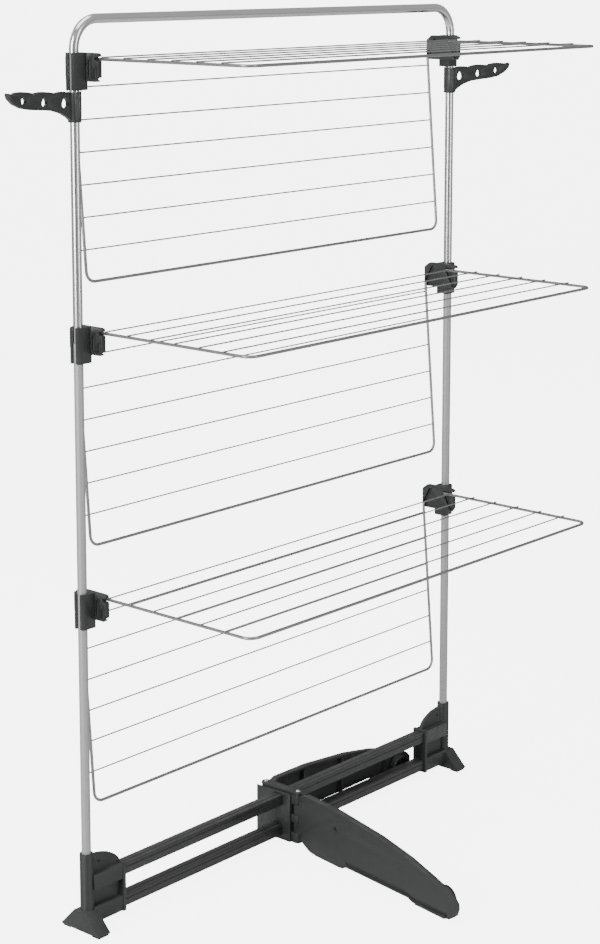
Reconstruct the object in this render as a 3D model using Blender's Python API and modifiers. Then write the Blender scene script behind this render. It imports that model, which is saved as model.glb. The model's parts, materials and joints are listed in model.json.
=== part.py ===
"""Free-standing three-tier tower clothes airer.

An inverted-U steel tube frame stands on two moulded feet joined by two rectangular rails. Six clips on the
posts carry six welded wire shelves: three at the front, opened flat, and three at the rear, folded down.
A hub in the middle of the rails carries two fold-out legs with roller wheels, the front one open and the
rear one folded along the rails. Two hanger arms swivel on the posts under the top clips.

Metres, +Z up, X along the rails. The posts stand in the plane Y = POST_PLANE_Y, and the floor is Z = 0.
"""

import math

import bmesh
import bpy
from mathutils import Matrix, Vector

# ---------------------------------------------------------------- overall
HEIGHT = 1.720
POST_X = 0.550
POST_PLANE_Y = 0.227
GAP = 0.0003

# ---------------------------------------------------------------- tube frame
TUBE_R = 0.009
TUBE_WALL = 0.0012
BEND_R = 0.054
JOINT_Z = 1.128
JOINER_R = 0.0071
JOINER_HALF = 0.040
POST_BOTTOM_Z = 0.0460

# ---------------------------------------------------------------- shelves, measured from each level's height
LEVELS = {"upper": 1.640, "middle": 1.145, "lower": 0.646}
SIDE_INSET = 0.031
SIDE_WIRE_R = 0.0030
CROSS_WIRE_R = 0.0015
CROSS_PITCH = 0.059
CROSS_COUNT = 6
STUB_TO_CROSS = 0.021
SHELF_DEPTH = STUB_TO_CROSS + CROSS_COUNT * CROSS_PITCH
SHELF_CORNER_R = 0.020
STUB_BEND_R = 0.004
CROSS_RISE = 0.0036
CROSS_OVERHANG = 0.0055
OPEN_PIVOT = Vector((0.0, 0.020, 0.0))
STOWED_PIVOT = Vector((0.0, 0.037, -0.032))
FOLD_ANGLE = math.radians(94.5)

# ---------------------------------------------------------------- clips on the posts
BORE_R = 0.0094
COLLAR_OUT = 0.0110
COLLAR_IN = 0.0200
COLLAR_Y = 0.0140
COLLAR_TOP = 0.0120
COLLAR_BOTTOM = -0.0550
COLLAR_OPENING = 0.0045
PLATE_OUTER = 0.0180
PLATE_INNER = 0.0280
PLATE_Y = 0.0425
PLATE_TOP = 0.0114
PLATE_BOTTOM = -0.0400
TRACK_FLOOR = 0.0220
TRACK_R = 0.0052
BUSH_R = 0.0047
BUSH_BORE_R = 0.0034
BUSH_FROM = 0.0230
BUSH_TO = 0.0266

# ---------------------------------------------------------------- hanger arms
HANGER_TOP = LEVELS["upper"] + COLLAR_BOTTOM - 0.003
HANGER_COLLAR = 0.054
HANGER_R = 0.0125
HANGER_REACH = 0.168
HANGER_THICKNESS = 0.009
HANGER_YAW = {"left": math.radians(3.0), "right": math.radians(13.0)}

# ---------------------------------------------------------------- base
RAIL_Y = 0.0125
RAIL_HEIGHT = 0.023
RAIL_WALL = 0.0015
RAIL_BOTTOM = {"lower": 0.0190, "upper": 0.0830}
RAIL_END = POST_X - 0.026
FOOT_TOP = 0.152
FOOT_COLUMN_R = 0.0132
FOOT_SOCKET_END = 0.086
FOOT_SPREAD = 0.050
PAD_THICKNESS = 0.0032
HUB_X = 0.003
HINGE_Y = 0.044
HUB_HALF_X = 0.0140
HUB_HALF_Y = 0.0340
HUB_BOTTOM = 0.0080
HUB_TOP = 0.1115
WING_END = 0.0590
WING_THICKNESS = 0.0032
KNUCKLE_R = 0.0090
HUB_KNUCKLES = ((0.0080, 0.0300), (0.0520, 0.0680), (0.0920, 0.1115))
LEG_KNUCKLES = ((0.0306, 0.0514), (0.0686, 0.0914))
PIN_R = 0.0030
PIN_HEAD_R = 0.0048
PIN_BORE_R = 0.0034
LEG_YAW = math.radians(9.0)
LEG_ROOT = 0.0112
LEG_HALF = 0.0070
LEG_REACH = 0.475
WHEEL_R = 0.0262
WHEEL_AT = (0.424, 0.0285)
WHEEL_FROM = 0.0090
WHEEL_WIDTH = 0.0150
AXLE_R = 0.0030

SCREW_DROP = 0.0480
SCREW_R = 0.0019
SCREW_HEAD_R = 0.0044

PLASTIC = (0.050, 0.052, 0.054)
RUBBER = (0.018, 0.018, 0.019)
STEEL = (0.52, 0.53, 0.54)
WIRE = (0.40, 0.41, 0.42)
ZINC = (0.70, 0.70, 0.68)


# ---------------------------------------------------------------- scene helpers
def clear_scene():
    """Remove every object, mesh, curve, material and collection of the scene."""
    for obj in list(bpy.data.objects):
        bpy.data.objects.remove(obj, do_unlink=True)
    for pool in (bpy.data.meshes, bpy.data.curves, bpy.data.materials, bpy.data.collections):
        for block in list(pool):
            pool.remove(block)


def new_collection(name):
    made = bpy.data.collections.new(name)
    bpy.context.scene.collection.children.link(made)
    return made


def new_material(name, colour, metallic, roughness):
    """A Principled material for one piece."""
    made = bpy.data.materials.new(name)
    made.use_nodes = True
    shader = made.node_tree.nodes["Principled BSDF"]
    shader.inputs["Base Color"].default_value = (*colour, 1.0)
    shader.inputs["Metallic"].default_value = metallic
    shader.inputs["Roughness"].default_value = roughness
    return made


def mesh_object(name, mesh):
    """An unlinked object whose mesh is closed up and faces outwards."""
    work = bmesh.new()
    work.from_mesh(mesh)
    bmesh.ops.remove_doubles(work, verts=work.verts, dist=1e-6)
    bmesh.ops.recalc_face_normals(work, faces=work.faces)
    work.to_mesh(mesh)
    work.free()
    return bpy.data.objects.new(name, mesh)


def curve_to_mesh(curve):
    """The mesh that a curve makes, with the curve itself removed."""
    guide = bpy.data.objects.new("guide", curve)
    bpy.context.scene.collection.objects.link(guide)
    bpy.context.view_layer.update()
    graph = bpy.context.evaluated_depsgraph_get()
    mesh = bpy.data.meshes.new_from_object(guide.evaluated_get(graph))
    bpy.data.objects.remove(guide, do_unlink=True)
    bpy.data.curves.remove(curve)
    return mesh


def tube(name, points, radius, sides, caps=True):
    """A round wire or tube along an open run of points."""
    curve = bpy.data.curves.new(name, "CURVE")
    curve.dimensions = "3D"
    curve.bevel_depth = radius
    curve.bevel_resolution = (sides - 4) // 2
    curve.use_fill_caps = caps
    spline = curve.splines.new("POLY")
    spline.points.add(len(points) - 1)
    for slot, point in zip(spline.points, points):
        slot.co = (*point, 1.0)
    return mesh_object(name, curve_to_mesh(curve))


def slab(name, outlines, axis, low, high):
    """Flat outlines filled and given thickness from low to high along an axis; an inner outline is a hole.

    The outlines' pairs are (Y, Z) along X, (X, Z) along Y and (X, Y) along Z.
    """
    curve = bpy.data.curves.new(name, "CURVE")
    curve.dimensions = "2D"
    curve.fill_mode = "BOTH"
    curve.extrude = (high - low) / 2
    for outline in outlines:
        spline = curve.splines.new("POLY")
        spline.points.add(len(outline) - 1)
        spline.use_cyclic_u = True
        for slot, (a, b) in zip(spline.points, outline):
            slot.co = (a, b, 0.0, 1.0)
    mesh = curve_to_mesh(curve)
    middle = (low + high) / 2
    rows = {
        "X": ((0, 0, 1, middle), (1, 0, 0, 0), (0, 1, 0, 0), (0, 0, 0, 1)),
        "Y": ((1, 0, 0, 0), (0, 0, 1, middle), (0, 1, 0, 0), (0, 0, 0, 1)),
        "Z": ((1, 0, 0, 0), (0, 1, 0, 0), (0, 0, 1, middle), (0, 0, 0, 1)),
    }
    mesh.transform(Matrix(rows[axis]))
    return mesh_object(name, mesh)


def block(name, low, high):
    """A box between two opposite corners."""
    low, high = Vector(map(min, low, high)), Vector(map(max, low, high))
    place = Matrix.Translation((low + high) / 2) @ Matrix.Diagonal((*(high - low), 1))
    work = bmesh.new()
    bmesh.ops.create_cube(work, size=1.0, matrix=place)
    mesh = bpy.data.meshes.new(name)
    work.to_mesh(mesh)
    work.free()
    return mesh_object(name, mesh)


def rod(name, start, end, radius, sides):
    """A straight round bar between two points."""
    start, end = Vector(start), Vector(end)
    turn = (end - start).to_track_quat("Z", "Y").to_matrix().to_4x4()
    work = bmesh.new()
    bmesh.ops.create_cone(
        work,
        cap_ends=True,
        segments=sides,
        radius1=radius,
        radius2=radius,
        depth=(end - start).length,
        matrix=Matrix.Translation((start + end) / 2) @ turn,
    )
    mesh = bpy.data.meshes.new(name)
    work.to_mesh(mesh)
    work.free()
    return mesh_object(name, mesh)


def turned(name, profile, steps, matrix):
    """A profile of (radius, height) pairs turned round Z with a Screw modifier, then placed by a matrix."""
    mesh = bpy.data.meshes.new(name)
    work = bmesh.new()
    verts = [work.verts.new((r, 0.0, z)) for r, z in profile]
    closed = min(r for r, _ in profile) > 0
    for first, second in zip(verts, verts[1:] + verts[:1] if closed else verts[1:]):
        work.edges.new((first, second))
    work.to_mesh(mesh)
    work.free()
    obj = bpy.data.objects.new(name, mesh)
    screw = obj.modifiers.new("turn", "SCREW")
    screw.steps = steps
    screw.render_steps = steps
    screw.use_merge_vertices = True
    screw.merge_threshold = 0.00005
    screw.use_smooth_shade = True
    obj.matrix_world = matrix
    return obj


def circle(x, y, radius, count, start=0.0, sweep=2 * math.pi):
    """Points on an arc; a full circle leaves out the repeated last point."""
    full = abs(sweep - 2 * math.pi) < 1e-9
    steps = count if full else count - 1
    return [
        (x + radius * math.cos(start + sweep * i / steps), y + radius * math.sin(start + sweep * i / steps))
        for i in range(count)
    ]


def stadium(first, second, radius, count):
    """A slot outline with round ends about two centres."""
    lean = math.atan2(second[1] - first[1], second[0] - first[0])
    return circle(*second, radius, count, lean - math.pi / 2, math.pi) + circle(
        *first, radius, count, lean + math.pi / 2, math.pi
    )


def window(a0, a1, b0, b1, cut):
    """A rectangle with its corners cut off."""
    return [
        (a0 + cut, b0),
        (a1 - cut, b0),
        (a1, b0 + cut),
        (a1, b1 - cut),
        (a1 - cut, b1),
        (a0 + cut, b1),
        (a0, b1 - cut),
        (a0, b0 + cut),
    ]


def rounded_path(points, radii, steps):
    """An open run of points whose inner corners are replaced with arcs."""
    points = [Vector(p) for p in points]
    path = [points[0]]
    for before, corner, after, radius in zip(points, points[1:], points[2:], radii):
        into, out = (corner - before).normalized(), (after - corner).normalized()
        half = into.angle(out) / 2
        reach = radius * math.tan(half)
        centre = corner + (out - into).normalized() * (radius / math.cos(half))
        start = corner - into * reach - centre
        turn_axis = into.cross(out).normalized()
        for i in range(steps + 1):
            path.append(centre + Matrix.Rotation(2 * half * i / steps, 3, turn_axis) @ start)
    return path + [points[-1]]


class Airer:
    """Links every piece to the part's collection and every cutter to its own."""

    def __init__(self):
        self.parts = new_collection("tower_clothes_airer")
        self.cutters = new_collection("cutters")
        self.origin = bpy.data.objects.new("post_plane", None)
        self.origin.location = (0.0, POST_PLANE_Y, 0.0)
        self.parts.objects.link(self.origin)

    def add(self, obj, colour, metallic, roughness, origin=None):
        """Make an object a piece of the airer, with its own material and its origin at a point."""
        self.parts.objects.link(obj)
        obj.parent = self.origin
        if origin is not None:
            obj.data.transform(Matrix.Translation(-Vector(origin)))
            obj.location = origin
        obj.data.materials.clear()
        obj.data.materials.append(new_material(obj.name, colour, metallic, roughness))
        obj.data.shade_smooth()
        obj.data.set_sharp_from_angle(angle=math.radians(35))
        return obj

    def helper(self, obj):
        """A cutter or a shape that a Boolean joins: it isn't a piece itself."""
        self.cutters.objects.link(obj)
        obj.parent = self.origin
        obj.hide_render = True
        obj.display_type = "WIRE"
        return obj

    def combine(self, obj, other, operation):
        modifier = obj.modifiers.new(f"{operation.lower()} {other.name}", "BOOLEAN")
        modifier.operation = operation
        modifier.solver = "EXACT"
        modifier.object = self.helper(other)

    def cut(self, obj, *others):
        for other in others:
            self.combine(obj, other, "DIFFERENCE")

    def join(self, obj, *others):
        for other in others:
            self.combine(obj, other, "UNION")


def side_sign(side):
    return -1.0 if side == "left" else 1.0


# ---------------------------------------------------------------- tube frame
def hollow(obj, wall):
    """Give an open tube its wall, inwards."""
    shell = obj.modifiers.new("wall", "SOLIDIFY")
    shell.thickness = wall
    shell.offset = -1.0
    shell.use_even_offset = True
    return obj


def build_frame(airer):
    top = HEIGHT - TUBE_R
    start = JOINT_Z + GAP
    corners = [(-POST_X, 0, start), (-POST_X, 0, top), (POST_X, 0, top), (POST_X, 0, start)]
    path = rounded_path(corners, [BEND_R, BEND_R], 7)
    airer.add(hollow(tube("frame_hoop", path, TUBE_R, 12, caps=False), TUBE_WALL), STEEL, 0.9, 0.34)
    for side in ("left", "right"):
        x = side_sign(side) * POST_X
        run = [(x, 0, POST_BOTTOM_Z), (x, 0, JOINT_Z - GAP)]
        post = tube(f"post_lower_{side}", run, TUBE_R, 12, caps=False)
        airer.add(hollow(post, TUBE_WALL), STEEL, 0.9, 0.4)
        low, high = (x, 0, JOINT_Z - JOINER_HALF), (x, 0, JOINT_Z + JOINER_HALF)
        airer.add(rod(f"post_joiner_{side}", low, high, JOINER_R, 12), PLASTIC, 0.0, 0.6)


# ---------------------------------------------------------------- clips
def collar_outline(side):
    """Plan of the clip's sleeve: a rounded block round the post, open on the outer side."""
    sign = -side_sign(side)
    start = math.asin(COLLAR_OPENING / BORE_R)
    bore = circle(0, 0, BORE_R, 15, math.pi - start, -(2 * math.pi - 2 * start))
    outer = [
        (-COLLAR_OUT, -COLLAR_OPENING),
        (-COLLAR_OUT, -COLLAR_Y + 0.004),
        (-COLLAR_OUT + 0.004, -COLLAR_Y),
        (COLLAR_IN, -COLLAR_Y),
        (COLLAR_IN, COLLAR_Y),
        (-COLLAR_OUT + 0.004, COLLAR_Y),
        (-COLLAR_OUT, COLLAR_Y - 0.004),
        (-COLLAR_OUT, COLLAR_OPENING),
    ]
    x = side_sign(side) * POST_X
    return [(x + sign * u, y) for u, y in bore + outer]


def plate_outline(z):
    """Side view of the clip's track plate, with a hook at its front end and a sloping rear corner."""
    front = [
        (PLATE_Y - 0.007, z + PLATE_TOP),
        (PLATE_Y - 0.001, z + PLATE_TOP - 0.002),
        (PLATE_Y, z + 0.0050),
        (PLATE_Y - 0.0075, z + 0.0042),
        (PLATE_Y - 0.0090, z + 0.0020),
        (PLATE_Y - 0.0075, z - 0.0020),
        (PLATE_Y, z - 0.0030),
        (PLATE_Y, z + PLATE_BOTTOM + 0.008),
        (PLATE_Y - 0.006, z + PLATE_BOTTOM),
    ]
    rear = [
        (PLATE_Y - 0.006, z + PLATE_BOTTOM),
        (PLATE_Y, z + PLATE_BOTTOM + 0.008),
        (PLATE_Y, z + 0.0020),
        (0.0300, z + PLATE_TOP),
    ]
    return [(-y, height) for y, height in front] + rear


def build_clips(airer):
    for side in ("left", "right"):
        sign = -side_sign(side)
        x = side_sign(side) * POST_X

        def across(low, high, sign=sign, x=x):
            return sorted((x + sign * low, x + sign * high))

        for level, z in LEVELS.items():
            name = f"bracket_{level}_{side}"
            clip = slab(name, [plate_outline(z)], "X", *across(PLATE_OUTER, PLATE_INNER))
            airer.add(clip, PLASTIC, 0.0, 0.5)
            sleeve = slab(f"{name}_sleeve", [collar_outline(side)], "Z", z + COLLAR_BOTTOM, z + COLLAR_TOP)
            airer.join(clip, sleeve)
            tracks, slots = [], []
            for face in (-1.0, 1.0):
                ends = [(face * p.y, z + p.z) for p in (OPEN_PIVOT, STOWED_PIVOT)]
                tracks.append(stadium(*ends, TRACK_R, 7))
                slots.append(window(*sorted((face * 0.0175, face * 0.0265)), z - 0.0330, z - 0.0010, 0.0015))
                slots.append(window(*sorted((face * 0.0318, face * 0.0405)), z - 0.0350, z - 0.0160, 0.0015))
            screw_z = z - SCREW_DROP
            airer.cut(
                clip,
                slab(f"{name}_tracks", tracks, "X", *across(TRACK_FLOOR, PLATE_INNER + 0.004)),
                slab(f"{name}_slots", slots, "X", *across(PLATE_OUTER - 0.003, TRACK_FLOOR - 0.0014)),
                rod(f"{name}_screw_hole", (x, 0.008, screw_z), (x, 0.018, screw_z), SCREW_R + 0.0004, 8),
            )
            place = Matrix.Translation((x, COLLAR_Y, screw_z)) @ Matrix.Rotation(-math.pi / 2, 4, "X")
            screw = turned(f"bracket_screw_{level}_{side}", screw_profile(), 10, place)
            place_turned(airer, screw, ZINC, 1.0, 0.35)


def screw_profile():
    """Half section of a low domed screw, from the top of its head down to the end of its shank."""
    return [
        (0.0, 0.0024),
        (SCREW_HEAD_R * 0.68, 0.0021),
        (SCREW_HEAD_R, 0.0008),
        (SCREW_HEAD_R, GAP),
        (SCREW_R, GAP),
        (SCREW_R, -0.0040),
        (0.0, -0.0040),
    ]


def place_turned(airer, obj, colour, metallic, roughness):
    """Link a turned piece, keeping the place its matrix gives it within the post plane."""
    matrix = obj.matrix_world.copy()
    airer.parts.objects.link(obj)
    obj.parent = airer.origin
    obj.matrix_local = matrix
    obj.data.materials.append(new_material(obj.name, colour, metallic, roughness))
    return obj


# ---------------------------------------------------------------- shelves
def build_shelves(airer):
    edge = POST_X - SIDE_INSET
    stub = POST_X - TRACK_FLOOR - 0.0006
    front = -SHELF_DEPTH
    corners = [(-stub, 0, 0), (-edge, 0, 0), (-edge, front, 0), (edge, front, 0), (edge, 0, 0), (stub, 0, 0)]
    path = rounded_path(corners, [STUB_BEND_R, SHELF_CORNER_R, SHELF_CORNER_R, STUB_BEND_R], 3)
    reach = edge + CROSS_OVERHANG
    hinge_reach = POST_X - PLATE_INNER - 0.0006
    length = BUSH_TO - BUSH_FROM
    for row in ("front", "rear"):
        for level, z in LEVELS.items():
            name = f"shelf_{row}_{level}_grid"
            grid = airer.add(tube(name, path, SIDE_WIRE_R, 8), WIRE, 0.85, 0.42)
            if row == "front":
                place = Matrix.Translation((0, -OPEN_PIVOT.y, z + OPEN_PIVOT.z))
            else:
                place = (
                    Matrix.Translation((0, STOWED_PIVOT.y, z + STOWED_PIVOT.z))
                    @ Matrix.Rotation(math.pi, 4, "Z")
                    @ Matrix.Rotation(FOLD_ANGLE, 4, "X")
                )
            grid.matrix_local = place
            for i in range(CROSS_COUNT):
                y = -(STUB_TO_CROSS + i * CROSS_PITCH)
                end = hinge_reach if i == 0 else reach
                wire = rod(f"{name}_cross_{i}", (-end, y, CROSS_RISE), (end, y, CROSS_RISE), CROSS_WIRE_R, 6)
                airer.join(grid, wire)
                wire.matrix_local = place
            pivot = place.to_translation()
            for side in ("left", "right"):
                at = side_sign(side) * (POST_X - BUSH_TO)
                bush = turned(
                    f"shelf_{row}_{level}_bush_{side}",
                    [(BUSH_R, length), (BUSH_R, 0.0), (BUSH_BORE_R, 0.0), (BUSH_BORE_R, length)],
                    12,
                    Matrix.Translation((at, pivot.y, pivot.z))
                    @ Matrix.Rotation(side_sign(side) * math.pi / 2, 4, "Y"),
                )
                place_turned(airer, bush, PLASTIC, 0.0, 0.45)


# ---------------------------------------------------------------- hanger arms
def hanger_outline():
    """Side view of a hanger arm: three lobes with hook notches between them, and a tip that curls up."""
    slope = 0.0075 / HANGER_REACH
    top = []
    notches = (0.0506, 0.1029, 0.1537)
    start = 0.0116
    for notch in notches:
        span = notch - start
        for i in range(5):
            s = start + span * (0.04 + 0.88 * i / 4)
            top.append((s, -0.0022 + slope * s + 0.0030 * math.sin(math.pi * (i + 0.5) / 5)))
        top.append((notch - 0.0008, -0.0062 + slope * notch))
        top.append((notch + 0.0018, -0.0062 + slope * notch))
        start = notch + 0.0040
    tip = [(HANGER_REACH - 0.0090, 0.0044), (HANGER_REACH - 0.0030, 0.0058), (HANGER_REACH, 0.0038)]
    low = [
        (HANGER_REACH - 0.0030, -0.0045),
        (0.1530, -0.0145),
        (0.1340, -0.0225),
        (0.1120, -0.0262),
        (0.0800, -0.0285),
        (0.0560, -0.0310),
        (0.0360, -0.0365),
        (0.0210, -0.0440),
        (0.0116, -0.0510),
    ]
    return top + tip + low


def teardrop(s, z, width, height):
    """A drop-shaped hole, round below and narrow above."""
    return [
        (
            s + width / 2 * math.sin(t) * (1.0 - 0.28 * math.cos(t)),
            z + height / 2 * math.cos(t),
        )
        for t in (2 * math.pi * i / 12 for i in range(12))
    ]


def build_hangers(airer):
    holes = [teardrop(0.0270, -0.0180, 0.0175, 0.0205), teardrop(0.0783, -0.0140, 0.0150, 0.0175)]
    holes.append(teardrop(0.1290, -0.0088, 0.0132, 0.0150))
    for side in ("left", "right"):
        x = side_sign(side) * POST_X
        half = HANGER_THICKNESS / 2
        arm = slab(f"hanger_{side}", [hanger_outline(), *holes], "Y", -half, half)
        airer.add(arm, PLASTIC, 0.0, 0.5)
        heading = math.pi + HANGER_YAW[side] if side == "left" else -HANGER_YAW[side]
        place = Matrix.Translation((x, 0, HANGER_TOP)) @ Matrix.Rotation(heading, 4, "Z")
        arm.matrix_local = place
        sleeve = slab(
            f"hanger_{side}_sleeve",
            [circle(0, 0, HANGER_R, 20), circle(0, 0, BORE_R, 20)],
            "Z",
            -HANGER_COLLAR,
            0.0,
        )
        airer.join(arm, sleeve)
        sleeve.matrix_local = place


# ---------------------------------------------------------------- feet, rails and pads
def build_rails(airer):
    for name, bottom in RAIL_BOTTOM.items():
        rail = block(f"rail_{name}", (-RAIL_END, -RAIL_Y, bottom), (RAIL_END, RAIL_Y, bottom + RAIL_HEIGHT))
        work = bmesh.new()
        work.from_mesh(rail.data)
        ends = [face for face in work.faces if abs(face.normal.x) > 0.5]
        bmesh.ops.delete(work, geom=ends, context="FACES_ONLY")
        work.to_mesh(rail.data)
        work.free()
        airer.add(hollow(rail, RAIL_WALL), PLASTIC, 0.0, 0.45)


def gusset_outline(sign, x):
    """Side view of the foot's middle web, with the half-round gusset above the sockets."""
    quarter = [math.pi / 2 * i / 7 for i in range(8)]
    arc = [(0.008 + 0.076 * math.sin(t), 0.1060 + 0.0400 * math.cos(t)) for t in quarter]
    outline = [(0.006, 0.1460), *arc, (0.0830, 0.0170), (0.0060, 0.0140)]
    return [(x + sign * u, z) for u, z in outline]


def build_feet(airer):
    for side in ("left", "right"):
        sign = -side_sign(side)
        x = side_sign(side) * POST_X
        name = f"foot_{side}"

        def at(u, y, z, sign=sign, x=x):
            return (x + sign * u, y, z)

        foot = slab(
            name,
            [gusset_outline(sign, x), circle(x + sign * 0.0270, 0.1290, 0.0028, 8)],
            "Y",
            -0.0040,
            0.0040,
        )
        airer.add(foot, PLASTIC, 0.0, 0.5)
        tent = [
            (-FOOT_SPREAD, PAD_THICKNESS + GAP),
            (-FOOT_SPREAD - 0.001, 0.0070),
            (-FOOT_SPREAD + 0.004, 0.0110),
            (-0.0160, 0.0420),
            (0.0160, 0.0420),
            (FOOT_SPREAD - 0.004, 0.0110),
            (FOOT_SPREAD + 0.001, 0.0070),
            (FOOT_SPREAD, PAD_THICKNESS + GAP),
            (0.0290, PAD_THICKNESS + GAP),
            (0.0235, 0.0085),
            (-0.0235, 0.0085),
            (-0.0290, PAD_THICKNESS + GAP),
        ]
        column = rod(f"{name}_column", at(0, 0, 0.0100), at(0, 0, FOOT_TOP), FOOT_COLUMN_R, 20)
        skirt = slab(f"{name}_skirt", [tent], "X", *sorted((x - sign * 0.0190, x + sign * 0.0110)))
        airer.join(foot, column, skirt)
        for rail, bottom in RAIL_BOTTOM.items():
            low = at(0.0055, -RAIL_Y - 0.0032, bottom - 0.0036)
            high = at(0.0812, RAIL_Y + 0.0032, bottom + RAIL_HEIGHT + 0.0034)
            airer.join(foot, block(f"{name}_{rail}_socket", low, high))
        rim_low = at(0.0790, -RAIL_Y - 0.0048, RAIL_BOTTOM["lower"] - 0.0052)
        rim_high = at(FOOT_SOCKET_END, RAIL_Y + 0.0048, RAIL_BOTTOM["upper"] + RAIL_HEIGHT + 0.0050)
        airer.join(foot, block(f"{name}_rim", rim_low, rim_high))
        bore = rod(f"{name}_post_bore", at(0, 0, POST_BOTTOM_Z - GAP), at(0, 0, 0.2), BORE_R, 20)
        airer.cut(foot, bore)
        for rail, bottom in RAIL_BOTTOM.items():
            low = at(POST_X - RAIL_END - GAP, -RAIL_Y - GAP, bottom - GAP)
            high = at(0.1200, RAIL_Y + GAP, bottom + RAIL_HEIGHT + GAP)
            airer.cut(foot, block(f"{name}_{rail}_pocket", low, high))
        for end, face in (("front", -1.0), ("rear", 1.0)):
            pad = block(
                f"foot_pad_{side}_{end}",
                at(-0.0170, face * 0.0300, 0.0),
                at(0.0090, face * 0.0485, PAD_THICKNESS),
            )
            airer.add(pad, RUBBER, 0.0, 0.9)


# ---------------------------------------------------------------- hub
def knuckle_outline(x, y, toward):
    """Plan of a hub ear: a round end about the pin that runs back into the hub's block."""
    start = 0.0 if toward > 0 else math.pi
    nose = circle(x, y, KNUCKLE_R, 9, start, math.pi)
    root = HUB_HALF_Y - 0.004
    return nose + [(nose[-1][0], toward * root), (nose[0][0], toward * root)]


def build_hub(airer):
    left = HUB_X - HUB_HALF_X
    bottom, top = HUB_BOTTOM + 0.0006, HUB_TOP - 0.0006
    hub = block("hub_body", (left, -HUB_HALF_Y, bottom), (HUB_X + HUB_HALF_X, HUB_HALF_Y, top))
    airer.add(hub, PLASTIC, 0.0, 0.5)
    for row, face in (("front", -1.0), ("rear", 1.0)):
        for i, (low, high) in enumerate(HUB_KNUCKLES):
            plan = knuckle_outline(HUB_X, face * HINGE_Y, face)
            airer.join(hub, slab(f"hub_ear_{row}_{i}", [plan], "Z", low, high))
    # The wing is the wall that the rear leg stops against when it is opened.
    face = left + WING_THICKNESS
    wing_plan = [(left, 0.0300), (face, 0.0300), (face, WING_END - 0.0010), (face - 0.0008, WING_END)]
    wing_plan += [(left + 0.0012, WING_END), (left, WING_END - 0.0012)]
    airer.join(hub, slab("hub_wing", [wing_plan], "Z", HUB_BOTTOM + 0.0012, HUB_TOP - 0.0012))
    for rail, bottom in RAIL_BOTTOM.items():
        low = (-0.06, -RAIL_Y - GAP, bottom - GAP)
        high = (0.06, RAIL_Y + GAP, bottom + RAIL_HEIGHT + GAP)
        airer.cut(hub, block(f"hub_{rail}_passage", low, high))
    cap_plan = stadium((HUB_X, -HINGE_Y), (HUB_X, HINGE_Y), 0.0098, 9)
    holes = [circle(HUB_X, face * HINGE_Y, PIN_BORE_R, 12) for face in (-1.0, 1.0)]
    cap = slab("hub_cap", [cap_plan, *holes], "Z", HUB_TOP + GAP, HUB_TOP + 0.0062)
    airer.add(cap, PLASTIC, 0.0, 0.45)
    for row, face in (("front", -1.0), ("rear", 1.0)):
        low, high = (HUB_X, face * HINGE_Y, -0.02), (HUB_X, face * HINGE_Y, 0.15)
        airer.cut(hub, rod(f"hub_pin_bore_{row}", low, high, PIN_BORE_R, 12))
        head = HUB_TOP + 0.0065
        profile = [
            (0.0, head + 0.0030),
            (PIN_HEAD_R * 0.7, head + 0.0024),
            (PIN_HEAD_R, head + 0.0010),
            (PIN_HEAD_R, head),
            (PIN_R, head),
            (PIN_R, HUB_BOTTOM - 0.0010),
            (0.0, HUB_BOTTOM - 0.0010),
        ]
        pin = turned(f"hinge_pin_{row}", profile, 12, Matrix.Translation((HUB_X, face * HINGE_Y, 0)))
        place_turned(airer, pin, ZINC, 1.0, 0.25)


# ---------------------------------------------------------------- legs
LEG_TOP = (
    (LEG_ROOT, 0.1110),
    (0.030, 0.1180),
    (0.129, 0.1164),
    (0.258, 0.1040),
    (0.344, 0.0884),
    (0.408, 0.0704),
)
LEG_POCKETS = ((0.026, 0.112, 0.0160), (0.140, 0.236, 0.0140), (0.242, 0.390, 0.0150))
LEG_SKIN = 0.0100


def leg_top(s):
    """Height of the leg's upper edge at a distance from the hinge pin."""
    for (s0, z0), (s1, z1) in zip(LEG_TOP, LEG_TOP[1:]):
        if s <= s1:
            return z0 + (z1 - z0) * (s - s0) / (s1 - s0)
    return LEG_TOP[-1][1]


def leg_outline():
    """Side view of a leg, from the hinge edge out to the rounded tip, with the floor bump and the sole."""
    tip = [(0.4440, 0.0590), (0.4640, 0.0480), (0.4735, 0.0385), (LEG_REACH, 0.0290)]
    heel = [(0.4700, 0.0140), (0.4600, 0.0060)]
    sole = [(0.4460, PAD_THICKNESS + GAP), (0.3560, PAD_THICKNESS + GAP), (0.3420, 0.0085), (0.1600, 0.0075)]
    bump = [(0.1480, 0.0020), (0.1360, 0.0006), (0.0640, 0.0006), (0.0450, 0.0030), (0.0230, 0.0140)]
    return [*LEG_TOP, *tip, *heel, *sole, *bump, (LEG_ROOT, 0.0300)]


def leg_pocket(first, last, floor):
    """Outline of a pocket that stays a rim's width inside the leg's edge."""
    steps = 4
    top = [first + (last - first) * i / steps for i in range(steps + 1)]
    return [(s, leg_top(s) - 0.0060) for s in top] + [(last, floor), (first, floor)]


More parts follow.
